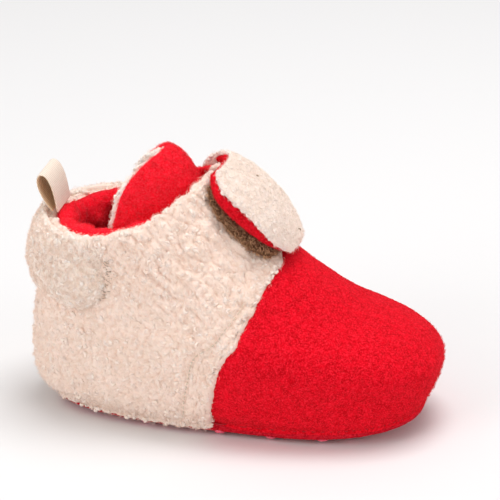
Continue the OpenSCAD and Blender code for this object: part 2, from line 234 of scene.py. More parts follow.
def rim(rows, cols):
    """Indices round the edge of a grid, and the inner neighbour of each."""
    last_row, last_col = rows - 1, cols - 1
    down, up = np.arange(last_row), np.arange(last_row, 0, -1)
    right, left = np.arange(last_col), np.arange(last_col, 0, -1)
    r = np.concatenate([0 * right, down, 0 * left + last_row, up])
    c = np.concatenate([right, 0 * down + last_col, left, 0 * up])
    return r * cols + c, np.clip(r, 1, rows - 2) * cols + np.clip(c, 1, cols - 2)


def volume(points, faces):
    """Signed volume inside a closed quad mesh: negative when it is inside out."""
    p = points[faces]
    area = np.cross(p[:, 2] - p[:, 0], p[:, -1] - p[:, 1]) / 2
    return float(np.sum((p.mean(axis=1) - points.mean(axis=0)) * area) / 3)


def shell(outer, inner, steps=4, bulge=1.0):
    """Closed sheet between two grids: points, quads, and for each point 1 (outside) to 0 (inside)."""
    rows, cols = outer.shape[:2]
    o, i = outer.reshape(-1, 3), inner.reshape(-1, 3)
    n = len(o)
    edge, neighbour = rim(rows, cols)
    middle, half = (o[edge] + i[edge]) / 2, (o[edge] - i[edge]) / 2
    away = unit((o[edge] - o[neighbour]) + (i[edge] - i[neighbour]))
    thick = np.linalg.norm(half, axis=-1, keepdims=True)
    loops = []
    for k in range(1, steps + 1):
        t = math.pi * k / (steps + 1)
        loops.append(middle + half * math.cos(t) + away * thick * bulge * math.sin(t))
    points = np.concatenate([o, i] + loops)
    chain = [edge] + [2 * n + k * len(edge) + np.arange(len(edge)) for k in range(steps)] + [edge + n]
    faces = [grid_faces(rows, cols), grid_faces(rows, cols, n, True)]
    for a, b in zip(chain[:-1], chain[1:]):
        faces.append(np.stack([a, b, np.roll(b, -1), np.roll(a, -1)], axis=-1))
    weight = [np.ones(n), np.zeros(n)]
    weight += [np.full(len(edge), 1 - k / (steps + 1)) for k in range(1, steps + 1)]
    faces = np.concatenate(faces)
    if volume(points, faces) < 0:
        faces = faces[:, ::-1]
    return points, faces, np.concatenate(weight)


def axes(low, high, rows, left, right, cols):
    """Column of values and row of values that span a grid."""
    return np.linspace(low, high, rows)[:, None], np.linspace(left, right, cols)[None, :]


def circle(count, e1, e2):
    """Points round a circle of radius 1 in the plane of two unit vectors."""
    turn = np.radians(np.arange(count) * (360 // count))
    return np.cos(turn)[:, None] * e1 + np.sin(turn)[:, None] * e2


def on_grids(values, total, rest):
    """One value for each point of a shell: those of its two grids, then rest for the rounded edge."""
    flat = values.ravel()
    return np.concatenate([flat, flat, np.full(total - 2 * flat.size, rest)])


def filled(outer, inner, cap):
    """Outer grid of a pad after its filling has pushed it out: a cloth held at the rim and the back.

    The cloth runs on a coarse copy at ten times life size, and cap limits how far a point moves."""
    pressure, pitch, frames = 60.0, 1.5, 20
    enlarged = 10 * MM
    rows, cols = outer.shape[:2]
    tall = np.linalg.norm(np.diff(outer[:, cols // 2], axis=0), axis=-1).sum()
    wide = np.linalg.norm(np.diff(outer[rows // 2], axis=0), axis=-1).sum()
    r = np.unique(np.linspace(0, rows - 1, max(6, int(tall / pitch))).astype(int))
    c = np.unique(np.linspace(0, cols - 1, max(6, int(wide / pitch))).astype(int))
    few_out, few_in = outer[np.ix_(r, c)], inner[np.ix_(r, c)]
    points, faces, _ = shell(few_out, few_in, 1)
    mesh = bpy.data.meshes.new("pad")
    mesh.from_pydata((points * enlarged).tolist(), [], faces.tolist())
    pad = bpy.data.objects.new("pad", mesh)
    bpy.context.scene.collection.objects.link(pad)
    inside = np.zeros((len(r), len(c)), bool)
    inside[1:-1, 1:-1] = True
    held = np.ones(len(points), bool)
    held[: inside.size] = ~inside.ravel()
    pad.vertex_groups.new(name="held").add(np.nonzero(held)[0].tolist(), 1.0, "REPLACE")
    cloth = pad.modifiers.new("filling", "CLOTH")
    fabric = cloth.settings
    fabric.quality = 6
    fabric.vertex_group_mass = "held"
    fabric.mass = 0.15
    fabric.tension_stiffness = 6
    fabric.compression_stiffness = 4
    fabric.shear_stiffness = 3
    fabric.bending_stiffness = 0.1
    fabric.use_pressure = True
    fabric.uniform_pressure_force = pressure
    fabric.effector_weights.gravity = 0
    cloth.collision_settings.use_collision = False
    cloth.point_cache.frame_start, cloth.point_cache.frame_end = 1, frames
    for step in range(1, frames + 1):
        bpy.context.scene.frame_set(step)
    seen = pad.evaluated_get(bpy.context.evaluated_depsgraph_get())
    moved = np.empty(len(points) * 3, np.float32)
    seen.data.vertices.foreach_get("co", moved)
    bpy.data.objects.remove(pad)
    bpy.data.meshes.remove(mesh)
    bpy.context.scene.frame_set(1)
    d = (moved.reshape(-1, 3) / enlarged - points)[: inside.size]
    far = np.linalg.norm(d, axis=-1, keepdims=True)
    d = d * (cap * np.tanh(far / cap) / np.maximum(far, 1e-6))
    d = d.reshape(len(r), -1)
    d = curve(r, d, np.arange(rows)).reshape(rows, len(c), 3)
    d = curve(c, d.transpose(1, 0, 2).reshape(len(c), -1), np.arange(cols)).reshape(cols, rows, 3)
    return outer + d.transpose(1, 0, 2)


def stack(loops):
    """Closed solid inside a stack of closed loops, capped with a point at both ends."""
    rows, cols = loops.shape[:2]
    points = np.concatenate([loops.reshape(-1, 3), loops[0].mean(0)[None], loops[-1].mean(0)[None]])
    c = np.arange(cols)
    d = np.roll(c, -1)
    quads = tube_faces(rows, cols)
    first, last, top = rows * cols, rows * cols + 1, (rows - 1) * cols
    low_cap = np.stack([np.full(cols, first), c, d], axis=-1)
    high_cap = np.stack([np.full(cols, last), top + d, top + c], axis=-1)
    caps = np.concatenate([low_cap, high_cap])
    if volume(points, quads) < 0:
        quads, caps = quads[:, ::-1], caps[:, ::-1]
    return points, quads, caps


def joined(solids):
    """Points, quads and end triangles of several solids as one mesh."""
    points, quads, caps = zip(*solids)
    starts = np.cumsum([0] + [len(p) for p in points])
    quads = [q + start for q, start in zip(quads, starts)]
    caps = [c + start for c, start in zip(caps, starts)]
    return np.concatenate(points), np.concatenate(quads), np.concatenate(caps)


def build(name, points, faces, material, heights=None, triangles=None):
    """Mesh object from points in millimetres; heights becomes the attribute that the pile's colour reads to
    paint shade into its valleys.
    """
    mesh = bpy.data.meshes.new(name)
    sets = [faces] if triangles is None else [faces, triangles]
    mesh.vertices.add(len(points))
    mesh.vertices.foreach_set("co", (np.asarray(points) * MM).astype(np.float32).ravel())
    corners = np.concatenate([f.ravel() for f in sets]).astype(np.int32)
    sizes = np.concatenate([np.full(len(f), f.shape[1]) for f in sets])
    mesh.loops.add(len(corners))
    mesh.loops.foreach_set("vertex_index", corners)
    mesh.polygons.add(len(sizes))
    starts = np.concatenate([[0], np.cumsum(sizes)[:-1]])
    mesh.polygons.foreach_set("loop_start", starts.astype(np.int32))
    mesh.polygons.foreach_set("use_smooth", np.ones(len(sizes), bool))
    mesh.update()
    mesh.validate()
    if heights is not None:
        layer = mesh.attributes.new("height", "FLOAT", "POINT")
        layer.data.foreach_set("value", np.asarray(heights, np.float32))
    obj = bpy.data.objects.new(name, mesh)
    bpy.context.scene.collection.objects.link(obj)
    mesh.materials.append(material)
    return obj


def normals(points, faces):
    """Area-weighted vertex normals of a quad mesh."""
    p = points[faces]
    n = np.cross(p[:, 2] - p[:, 0], p[:, 3 % faces.shape[1]] - p[:, 1])
    out = np.zeros_like(points)
    for k in range(faces.shape[1]):
        for axis in range(3):
            out[:, axis] += np.bincount(faces[:, k], n[:, axis], len(points))
    return unit(out)


def raised(points, faces, height):
    """Points moved along their normals by a height of their own."""
    return points + normals(points, faces) * height[:, None]


def scatter(points, faces, keep, count, rng):
    """Roots spread at random over a mesh where keep (one value per point) allows them, and their normals."""
    p = points[faces]
    k = keep[faces].mean(axis=1)
    area = np.linalg.norm(np.cross(p[:, 2] - p[:, 0], p[:, 3] - p[:, 1]), axis=-1) * k
    pick = rng.choice(len(faces), count, p=area / area.sum())
    u, v = rng.random((2, count, 1))
    q = p[pick]
    root = lerp(lerp(q[:, 0], q[:, 1], u), lerp(q[:, 3], q[:, 2], u), v)
    return root, unit(np.cross(q[:, 2] - q[:, 0], q[:, 3] - q[:, 1]))


def strands(name, points, faces, keep, count, length, width, curl, lean, material, seed, comb=None):
    """Short curled fibres rooted 0.1 mm under a mesh; comb is a direction that they all lean towards."""
    rng = np.random.default_rng(seed)
    root, n = scatter(points, faces, keep, count, rng)
    flow = np.stack([noise(root / 1.7 + 31 * k) for k in range(3)], axis=-1)
    side = unit(np.cross(n, 0.5 * rng.normal(size=(count, 3)) + 4.0 * flow))
    if comb is not None:
        side = unit(side + np.array(comb))
    other = np.cross(n, side)
    reach = length * rng.uniform(0.55, 1.25, (count, 1))
    phase = rng.uniform(0, 6.28, (count, 1))
    stations = 4
    spine = []
    for j in range(stations):
        t = j / (stations - 1)
        turn = phase + 4.0 * t
        swirl = curl * t * (np.cos(turn) * other + np.sin(turn) * side)
        rise = t * (1 - lean * t * 0.6) * n + lean * t * side
        spine.append(root - n * 0.1 + reach * (rise + swirl))
    spine = np.stack(spine, axis=1)
    flat = unit(np.cross(spine[:, -1] - spine[:, 0], rng.normal(size=(count, 3))))
    taper = np.array([1, 0.9, 0.7, 0.25]).reshape(1, -1, 1) * width * 0.5
    both = np.stack([spine - flat[:, None] * taper, spine + flat[:, None] * taper], axis=2).reshape(-1, 3)
    base = (np.arange(count) * stations * 2)[:, None, None]
    ladder = (np.arange(stations - 1) * 2)[None, :, None]
    quads = (base + ladder + np.array([0, 1, 3, 2])[None, None]).reshape(-1, 4)
    return build(name, both, quads, material)


def curls(name, points, faces, keep, count, length, thick, material, seed, sink):
    """Fat little locks of pile lying along a mesh, each a bent tube sunk by a share of its thickness."""
    rng = np.random.default_rng(seed)
    root, n = scatter(points, faces, keep, count, rng)
    side = unit(np.cross(n, rng.normal(size=(count, 3))))
    other = np.cross(n, side)
    reach = length * rng.uniform(0.6, 1.3, (count, 1))
    bend = reach * rng.uniform(-0.75, 0.75, (count, 1))
    high = thick * rng.uniform(0.0, 0.12, (count, 1))
    stations, sides = 5, 6
    spine = []
    for j in range(stations):
        t = j / (stations - 1)
        arch = math.sin(math.pi * t)
        spine.append(root + reach * (t - 0.5) * side + bend * arch * other + n * (high * arch - sink * thick))
    spine = np.stack(spine, axis=1)
    along = unit(np.gradient(spine, axis=1))
    across = unit(np.cross(along, n[:, None]))
    upward = np.cross(across, along)
    fat = (np.array([0.3, 0.85, 1.0, 0.85, 0.3]) * thick * 0.5).reshape(1, -1, 1, 1)
    fat = fat * rng.uniform(0.7, 1.25, (count, 1, 1, 1))
    turn = np.radians(np.arange(sides) * 360 / sides).reshape(1, 1, -1, 1)
    ring = spine[:, :, None] + fat * (np.cos(turn) * across[:, :, None] + np.sin(turn) * upward[:, :, None])
    base = (np.arange(count) * stations * sides)[:, None, None]
    quads = (base + tube_faces(stations, sides)[None]).reshape(-1, 4)
    return build(name, ring.reshape(-1, 3), quads, material)


# ---------------------------------------------------------------- materials
class Nodes:
    """Small helper that adds and links shader nodes."""

    def __init__(self, name, colour, rough):
        self.material = bpy.data.materials.new(name)
        self.material.use_nodes = True
        self.tree = self.material.node_tree
        self.shader = self.tree.nodes["Principled BSDF"]
        self.put("Base Color", (*colour, 1))
        self.put("Roughness", rough)
        self.where = self.add("ShaderNodeTexCoord").outputs["Object"]

    def put(self, socket, value):
        self.shader.inputs[socket].default_value = value

    def add(self, kind, **values):
        node = self.tree.nodes.new(kind)
        for key, value in values.items():
            setattr(node, key, value)
        return node

    def link(self, a, b):
        self.tree.links.new(a, b)

    def tint(self, source):
        self.link(source, self.shader.inputs["Base Color"])

    def tint_each(self, dark, light):
        """A tone of its own for each fibre or lock."""
        island = self.add("ShaderNodeNewGeometry").outputs["Random Per Island"]
        self.tint(self.ramp(island, [(0.0, dark), (1.0, light)]))

    def noise(self, per_mm, detail=2, rough=0.6):
        node = self.add("ShaderNodeTexNoise")
        node.inputs["Scale"].default_value = per_mm * 1000
        node.inputs["Detail"].default_value = detail
        node.inputs["Roughness"].default_value = rough
        self.link(self.where, node.inputs["Vector"])
        return node.outputs["Fac"]

    def ramp(self, source, stops):
        node = self.add("ShaderNodeValToRGB")
        elements = node.color_ramp.elements
        while len(elements) < len(stops):
            elements.new(0.5)
        for element, (place, colour) in zip(elements, stops):
            element.position = place
            element.color = (*colour, 1)
        self.link(source, node.inputs["Fac"])
        return node.outputs["Color"]

    def mix(self, factor, a, b, blend="MIX"):
        node = self.add("ShaderNodeMix", data_type="RGBA", blend_type=blend)
        for value, socket in ((factor, node.inputs[0]), (a, node.inputs[6]), (b, node.inputs[7])):
            if isinstance(value, (int, float)):
                socket.default_value = value
            elif isinstance(value, tuple):
                socket.default_value = (*value, 1)
            else:
                self.link(value, socket)
        return node.outputs[2]

    def bump(self, source, mm, strength=1.0):
        node = self.add("ShaderNodeBump")
        node.inputs["Distance"].default_value = mm * MM
        node.inputs["Strength"].default_value = strength
        self.link(source, node.inputs["Height"])
        old = self.shader.inputs["Normal"]
        if old.is_linked:
            self.link(old.links[0].from_socket, node.inputs["Normal"])
        self.link(node.outputs["Normal"], old)


def felt_material(name, dark, light, speck, sheen=0.2):
    m = Nodes(name, light, 0.95)
    mottle = m.ramp(m.noise(0.55, 3, 0.7), [(0.36, dark), (0.6, light)])
    fine = m.ramp(m.noise(2.2, 2, 0.6), [(0.45, (0, 0, 0)), (0.72, (1, 1, 1))])
    m.tint(m.mix(fine, mottle, speck))
    m.put("Sheen Weight", sheen)
    m.put("Sheen Roughness", 0.45)
    m.put("Sheen Tint", (1, 0.12, 0.16, 1))
    m.put("Specular IOR Level", 0.04)
    m.bump(m.noise(1.1, 3, 0.7), 0.25, 0.6)
    m.bump(m.noise(4.0, 2, 0.6), 0.12, 0.6)
    return m.material


def pile_material(name, valley_shade, top):
    m = Nodes(name, top, 1.0)
    height = m.add("ShaderNodeAttribute", attribute_name="height").outputs["Fac"]
    # Painted shade: the pile is coloured valley_shade where its height is low, as shade in the creases
    # between puffs.
    tone = m.ramp(height, [(0.0, valley_shade), (0.35, top)])
    cloud = m.ramp(m.noise(0.09, 3), [(0.35, (0.93, 0.91, 0.88)), (0.7, (1, 1, 1))])
    m.tint(m.mix(1.0, tone, cloud, "MULTIPLY"))
    m.put("Subsurface Weight", 0.12)
    m.put("Subsurface Radius", (1.0, 0.7, 0.5))
    m.put("Subsurface Scale", 0.0005)
    m.put("Sheen Weight", 0.2)
    m.put("Sheen Roughness", 0.5)
    m.put("Specular IOR Level", 0.05)
    m.bump(m.noise(0.8, 3, 0.7), 0.5, 0.8)
    m.bump(m.noise(2.4, 3, 0.7), 0.2, 0.7)
    return m.material


def strand_material(name, dark, light, sheen=0.2):
    m = Nodes(name, light, 0.85)
    m.tint_each(dark, light)
    m.put("Sheen Weight", sheen)
    m.put("Specular IOR Level", 0.04)
    return m.material


def lock_material(name, dark, light):
    m = Nodes(name, light, 0.95)
    m.tint_each(dark, light)
    m.put("Subsurface Weight", 0.3)
    m.put("Subsurface Radius", (1.0, 0.75, 0.6))
    m.put("Subsurface Scale", 0.0012)
    m.put("Sheen Weight", 0.1)
    m.put("Sheen Roughness", 0.5)
    m.put("Specular IOR Level", 0.03)
    m.bump(m.noise(1.6, 3, 0.7), 0.2, 0.6)
    return m.material


def thread_material(name, colour, dark):
    m = Nodes(name, colour, 0.75)
    m.tint(m.ramp(m.noise(3.0, 2), [(0.35, dark), (0.65, colour)]))
    m.bump(m.noise(5.0, 2), 0.08)
    return m.material


def twill_material(name, dark, light):
    m = Nodes(name, light, 0.8)
    wave = m.add("ShaderNodeTexWave", wave_type="BANDS", bands_direction="DIAGONAL")
    wave.inputs["Scale"].default_value = 620
    wave.inputs["Distortion"].default_value = 1.2
    wave.inputs["Detail"].default_value = 1
    m.link(m.where, wave.inputs["Vector"])
    tone = m.ramp(wave.outputs["Fac"], [(0.2, dark), (0.7, light)])
    worn = m.ramp(m.noise(1.2, 3), [(0.3, dark), (0.7, light)])
    m.tint(m.mix(0.25, tone, worn))
    m.put("Sheen Weight", 0.2)
    m.bump(wave.outputs["Fac"], 0.12, 0.8)
    m.bump(m.noise(4.0, 2), 0.06, 0.6)
    return m.material


def silicone_material(name, colour):
    m = Nodes(name, colour, 0.32)
    m.put("Subsurface Weight", 0.5)
    m.put("Subsurface Radius", (1.0, 0.3, 0.3))
    m.put("Subsurface Scale", 0.001)
    m.put("Coat Weight", 0.3)
    brighter = tuple(min(1, c * 1.15) for c in colour)
    m.tint(m.ramp(m.noise(0.25, 2), [(0.3, colour), (0.8, brighter)]))
    m.bump(m.noise(1.5, 1), 0.03, 0.5)
    return m.material


RED_DARK, RED, RED_LIGHT = (0.52, 0.001, 0.006), (0.76, 0.003, 0.014), (0.96, 0.02, 0.042)
felt = felt_material("felt_red", RED_DARK, RED, RED_LIGHT)
# Red fleece of the linings and sock liner: its own red, raised brighter than the felt as painted light for
# the shaded inside of the bootie.
fleece_lit = felt_material("fleece_red_lit", (0.8, 0.002, 0.01), (1.0, 0.008, 0.025), (1.0, 0.03, 0.06), 0.5)
SOLE_DARK, SOLE_RED = (0.38, 0.002, 0.01), (0.62, 0.006, 0.02)
sole_cloth = felt_material("sole_cloth_red", SOLE_DARK, SOLE_RED, (0.75, 0.03, 0.05), 0.15)
# Lighter copy of the red felt and its fibres for the tongue: painted light that brightens the tongue beyond
# what the lamps give it.
TONGUE_LIT_DARK, TONGUE_LIT_RED = (0.82, 0.003, 0.014), (1.0, 0.008, 0.026)
felt_lit_tongue = felt_material("felt_red_tongue_lit", TONGUE_LIT_DARK, TONGUE_LIT_RED, (1.0, 0.05, 0.08), 0.5)
tongue_strand_lit = strand_material("felt_fibre_tongue_lit", (0.8, 0.003, 0.014), (1.0, 0.03, 0.055), 0.2)
felt_strand = strand_material("felt_fibre_red", (0.55, 0.001, 0.006), (0.98, 0.022, 0.04), 0.1)
# Fleece fibres likewise brighter: painted light for the shaded inside.
fleece_strand_lit = strand_material("fleece_fibre_red_lit", (0.85, 0.003, 0.015), (1.0, 0.04, 0.07), 0.3)
# CREAM_VALLEY_SHADE is painted shade for the creases of the quarters' pile.
CREAM_VALLEY_SHADE, CREAM = (0.90, 0.66, 0.54), (1.0, 0.81, 0.71)
pile = pile_material("pile_cream", CREAM_VALLEY_SHADE, CREAM)
# Lighter copy of the cream pile for the cuff: painted light where the lamps leave the rolled cuff darker than
# the quarters.
pile_cuff_lit = pile_material("pile_cream_cuff_lit", (1.0, 0.81, 0.70), (1.0, 0.88, 0.79))
pile_strap = pile_material("pile_cream_strap", (0.90, 0.72, 0.62), (0.95, 0.80, 0.72))
pile_soft = pile_material("pile_cream_soft", (1.0, 0.82, 0.72), (1.0, 0.90, 0.82))
pile_strand = strand_material("pile_fibre_cream", (0.94, 0.72, 0.61), (1.0, 0.88, 0.79), 0.1)
strap_strand = strand_material("pile_fibre_strap", (0.96, 0.84, 0.75), (1.0, 0.92, 0.85), 0.1)
pile_curl = lock_material("pile_lock_cream", (0.99, 0.78, 0.67), (1.0, 0.83, 0.73))
# Lighter copy of the cream locks for the cuff: painted light, as for its pile.
pile_curl_cuff_lit = lock_material("pile_lock_cream_cuff_lit", (1.0, 0.84, 0.74), (1.0, 0.88, 0.79))
pile_curl_strap = lock_material("pile_lock_cream_strap", (0.93, 0.76, 0.67), (0.97, 0.82, 0.74))
pile_curl_soft = lock_material("pile_lock_cream_soft", (1.0, 0.85, 0.76), (1.0, 0.92, 0.85))
twill = twill_material("ribbon_beige", (0.76, 0.60, 0.48), (0.96, 0.84, 0.72))
twill_inside = twill_material("ribbon_tan", (0.62, 0.42, 0.24), (0.86, 0.64, 0.42))
HOOK_DARK, HOOK_BROWN = (0.04, 0.018, 0.009), (0.12, 0.055, 0.028)
hook_base = felt_material("hook_tape_brown", HOOK_DARK, HOOK_BROWN, (0.28, 0.15, 0.08), 0.1)
hook_strand = strand_material("hook_fibre_gold", (0.09, 0.03, 0.015), (0.85, 0.48, 0.26), 0.1)
thread_cream = thread_material("thread_cream", (0.80, 0.70, 0.58), (0.62, 0.50, 0.38))
thread_red = thread_material("thread_red", (0.55, 0.004, 0.015), (0.3, 0.002, 0.008))
thread_brown = thread_material("thread_brown", (0.30, 0.20, 0.11), (0.16, 0.10, 0.05))
silicone = silicone_material("silicone_pink", (0.85, 0.10, 0.17))


def place(obj, body, slot_name, *nodes):
    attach(obj, body)
    if nodes:
        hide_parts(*nodes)
    return obj


# ---------------------------------------------------------------- quarters
def step_per_v(v, a):
    """Millimetres of skin per unit of v."""
    low = np.clip(v, 0.02, 0.98)
    return np.linalg.norm(envelope(low + 0.02, a) - envelope(low - 0.02, a), axis=-1) / 0.04


def topstitch_groove(p_v, p_a):
    """How deep the row of stitches pulls the pile in."""
    off = (p_a - seam_angle(p_v) - 5) * 0.5
    return np.exp(-((off / 0.8) ** 2)) * smooth((p_v - 0.02) / 0.08) * smooth((0.7 - p_v) / 0.08)


def hem_point(edge, a, t):
    """Carries the lower edge down over the sole's rim and in under it, t from 0 to 1."""
    out = outward(np.full(np.shape(a), 0.06), a)
    return edge + out * (0.5 * math.sin(math.pi * t) - 0.9 * t * t) + np.array([0, 0, -HEM * t])


def quarter_grids(side):
    """Outer and inner grid, the v and angle of each point, and how far each outer point is in view."""
    cols = 420
    rough_angle = spread(np.full((1, 1), COLLAR_SEAM), cols)
    top = 1 - ROLL / step_per_v(np.full_like(rough_angle, 0.97), rough_angle)
    v = np.linspace(0, 1, 190)[:, None] * top
    wander = 0.35 * noise(np.stack([v * 70, 0 * v, 0 * v], axis=-1))
    a = spread(seam_angle(v) + 0.4 + wander * smooth((0.74 - v) / 0.05), cols)
    outer = skin(v, side * a, 0.0)
    a_top = a[-1][None, :]
    up = unit(envelope(0.99, side * a_top) - envelope(0.95, side * a_top))
    out = outward(np.full_like(a_top, 0.98), side * a_top)
    centre = skin(top, side * a_top, -ROLL)
    arc = [centre + ROLL * (np.cos(t) * out + np.sin(t) * up) for t in np.linspace(0, np.pi, 15)[1:]]
    per_v = step_per_v(top, a_top)
    inside = [skin(top - d / per_v, side * a_top, -2 * ROLL) for d in np.linspace(0.5, 5, 10)]
    hem = [hem_point(outer[0], side * a[0], t) for t in np.linspace(1, 0, 8)[:-1]]
    grid = np.concatenate([np.stack(hem), outer] + arc + inside)
    panel = len(hem) + len(v)
    rest = len(grid) - panel
    v_all = np.concatenate([np.repeat(v[:1], len(hem), axis=0), v, np.repeat(top[None, 0], rest, axis=0)])
    a_all = np.concatenate([np.repeat(a[:1], len(hem), axis=0), a, np.repeat(a_top, rest, axis=0)])
    deep = np.concatenate([np.full(panel, -PILE), np.linspace(-PILE, -3.4, rest)])[:, None]
    inner = skin(v_all, side * a_all, deep + 0 * a_all)
    shown = np.repeat(np.concatenate([np.ones(panel + 6), np.linspace(1, 0, rest - 6)]), cols)
    grids = [grid, inner, v_all, a_all]
    if side < 0:
        grids = [g[:, ::-1] for g in grids]
    return *grids, shown


def quarter(side, name, node):
    grid, inner, v, a, shown = quarter_grids(side)
    points, faces, weight = shell(grid, inner, 4)
    weight[: len(shown)] *= shown
    height = tufts(points, 3.4)
    v, a = on_grids(v, len(points), 0.5), on_grids(a, len(points), 0.0)
    groove = topstitch_groove(v, a)
    folds = smooth((v - 0.42) / 0.2) * smooth((125 - a) / 40)
    x, y, z = points.T
    across = np.stack([x / 8, y / 8, (z + 0.55 * x) / 4.2], axis=-1)
    creases = 0.8 * folds * (np.clip(np.abs(noise(across)) * 4, 0, 1) - 1) + noise(points / 10.0) * 0.5
    amount = 1.3 * (1 - 0.5 * groove)
    points = raised(points, faces, weight * (amount * (height - 0.5) + creases - 0.5 * groove))
    under_strap = smooth((v - 0.8) / 0.06) * smooth((60 - a) / 10) * (a > 0) * (side < 0)
    keep = weight * (0.25 + smooth(height / 0.7)) * (1 - under_strap)
    pressed = weight * under_strap * smooth((v - 0.86) / 0.08)
    points = points + np.array([0, 0, -PILE]) * pressed[:, None]
    place(build(name, points, faces, pile, height), "upper", "pile", node)
    locks = curls(name + "_curls", points, faces, keep, 4300, 1.5, 1.05, pile_curl, 25 + side, 0.51)
    place(locks, "upper", "pile")
    fuzz = strands(name + "_fibres", points, faces, keep, 26000, 1.1, 0.09, 0.5, 0.8, pile_strand, 21 + side)
    place(fuzz, "upper", "pile")


quarter(1, "quarter_lateral", "lateral_quarter")
quarter(-1, "quarter_medial", "medial_quarter")


# ---------------------------------------------------------------- toe vamp
def vamp():
    v, c = axes(0, 0.757, 150, -1, 1, 260)
    reach = seam_angle(v) + 4 * smooth((0.74 - v) / 0.06)
    a = reach * c
    puff = 0.35 * np.sin(np.pi * np.clip(v / 0.72, 0, 1)) ** 0.5 + 0 * a
    tuck = 1.6 * smooth((np.abs(a) - seam_angle(v) + 4) / 6)
    outer = skin(v, a, FELT_OUT + puff - tuck)
    hem = np.stack([hem_point(outer[0], a[0], 0.75 * t) for t in np.linspace(1, 0, 8)[:-1]])
    inner = skin(v, a, FELT_OUT - FELT_THICK - tuck)
    outer = np.concatenate([hem, outer])
    inner = np.concatenate([np.repeat(inner[:1], len(hem), axis=0), inner])
    points, faces, weight = shell(outer, inner, 3)
    points = raised(points, faces, weight * (0.10 * noise(points / 0.8) + 0.22 * noise(points / 6.0)))
    place(build("vamp_felt", points, faces, felt), "upper", "felt", "toe_vamp")
    keep = np.where(weight > 0.5, 1.0, 0.0)
    comb = (0.6, 0, -0.3)
    fuzz = strands("vamp_fibres", points, faces, keep, 33000, 0.6, 0.07, 0.25, 1.3, felt_strand, 5, comb)
    place(fuzz, "upper", "felt")


vamp()


# ---------------------------------------------------------------- linings inside
def lining(side, name, node):
    cols = 190
    angle = spread(np.full((1, 1), COLLAR_SEAM), cols)
    top = 1 - 2.6 / step_per_v(np.full_like(angle, 0.97), angle)
    v = np.linspace(0.02, 1, 90)[:, None] * top
    a = spread(seam_angle(v) + 0.4, cols, 180.2)
    lip = smooth((64 - a) / 12) * (side < 0)
    v = v + lip * smooth((v - 0.8) / 0.15) * 1.4 / step_per_v(v, a)
    over = 2.2 * lip * smooth((v - 0.9) / 0.07)
    outer, inner = skin(v, side * a, LINING_OUT + over), skin(v, side * a, LINING_IN + over)
    if side < 0:
        outer, inner = outer[:, ::-1], inner[:, ::-1]
    points, faces, weight = shell(outer, inner, 3)
    inside = 1 - weight
    n = normals(points, faces)
    at_heel = smooth((points[:, 2] / SZ - 40) / 14) * smooth((-8 - points[:, 0]) / 18)
    bunch = at_heel * (3.0 + 8.0 * np.abs(noise(points / 9.0)))
    points = points + n * (inside * (bunch + 0.4 * tufts(points, 1.8) + 0.3 * noise(points / 7.0)))[:, None]
    points = points + n * (weight * on_grids(over, len(points), 0.0) * 0.3)[:, None]
    place(build(name, points, faces, fleece_lit), "upper", "lining", node)
    keep = inside * (points[:, 2] > 30)
    seed = 31 + side
    fuzz = strands(name + "_fibres", points, faces, keep, 20000, 0.9, 0.09, 0.4, 0.6, fleece_strand_lit, seed)
    place(fuzz, "upper", "lining")


lining(1, "lining_lateral", "lateral_lining")
lining(-1, "lining_medial", "medial_lining")


def vamp_lining():
    v, c = axes(0.02, 0.75, 60, -1, 1, 90)
    a = (seam_angle(v) - 0.4) * c
    points, faces, weight = shell(skin(v, a, LINING_OUT), skin(v, a, LINING_IN), 2)
    points = raised(points, faces, (1 - weight) * 0.25 * tufts(points, 1.8))
    place(build("lining_toe", points, faces, fleece_lit), "upper", "lining", "vamp_lining")


vamp_lining()


def band(name, node, slot_name, material, v_low, v_high, a_low, a_high, h_out, h_in, rows, cols):
    """Plain layer inside the upper, between two stations, two angles and two heights."""
    v, a = axes(v_low, v_high, rows, a_low, a_high, cols)
    points, faces, _ = shell(skin(v, a, h_out), skin(v, a, h_in), 2)
    return place(build(name, points, faces, material), "upper", slot_name, node)


wadding = pile_material("wadding_white", (0.80, 0.78, 0.74), (0.90, 0.89, 0.86))
elastic = twill_material("elastic_white", (0.72, 0.72, 0.70), (0.88, 0.88, 0.86))
counter = thread_material("counter_board", (0.80, 0.76, 0.66), (0.68, 0.63, 0.53))
band("heel_stiffener", "heel_counter", "counter", counter, 0.06, 0.58, 128, 232, -3.42, -4.07, 40, 60)
band("elastic_band", "ankle_elastic", "elastic", elastic, 0.64, 0.78, 106, 254, -3.57, -4.12, 16, 80)
band("heel_tape", "heel_seam_tape", "lining", sole_cloth, 0.1, 0.955, 174, 186, -5.9, -6.5, 80, 12)
vamp_pad = band("vamp_wadding", "vamp_padding", "wadding", wadding, 0.08, 0.7, -47, 47, -2.95, -4.0, 40, 60)

# ---------------------------------------------------------------- sole
sole_front, sole_back = front_line[0][0] * SX, back_line[0][0] * SX
sole_middle, sole_half = (sole_front + sole_back) / 2, (sole_front - sole_back) / 2
AROUND = np.arange(240) * 1.5


def sole_rise(x, reach):
    """How far the sole curves up: under the toe, and at its rim, where reach is 1."""
    return (
        TOE_SPRING * np.clip((x - 18 * SX) / (39.5 * SX), 0, 1.15) ** 2
        + EDGE_LIFT * np.clip((reach - 0.8) / 0.2, 0, 1.1) ** 2
    )


def sole_loop(r, z):
    """Outline of the sole shrunk to r of its size, at height z before the rise."""
    edge = envelope(np.zeros(len(AROUND)), AROUND)
    x = lerp(sole_middle, edge[:, 0], r)
    return np.stack([x, edge[:, 1] * r, z + sole_rise(x, np.full(len(x), r))], axis=-1)


def sole_reach(x, y):
    """0 at the middle of the sole and 1 at its rim."""
    c = (x - sole_middle) / sole_half
    s = y / (SY * half_widths[0] * (1 + flares[0] * np.clip(c, -1, 1)))
    n = squareness[0]
    return (abs(c) ** n + abs(s) ** n) ** (1 / n)


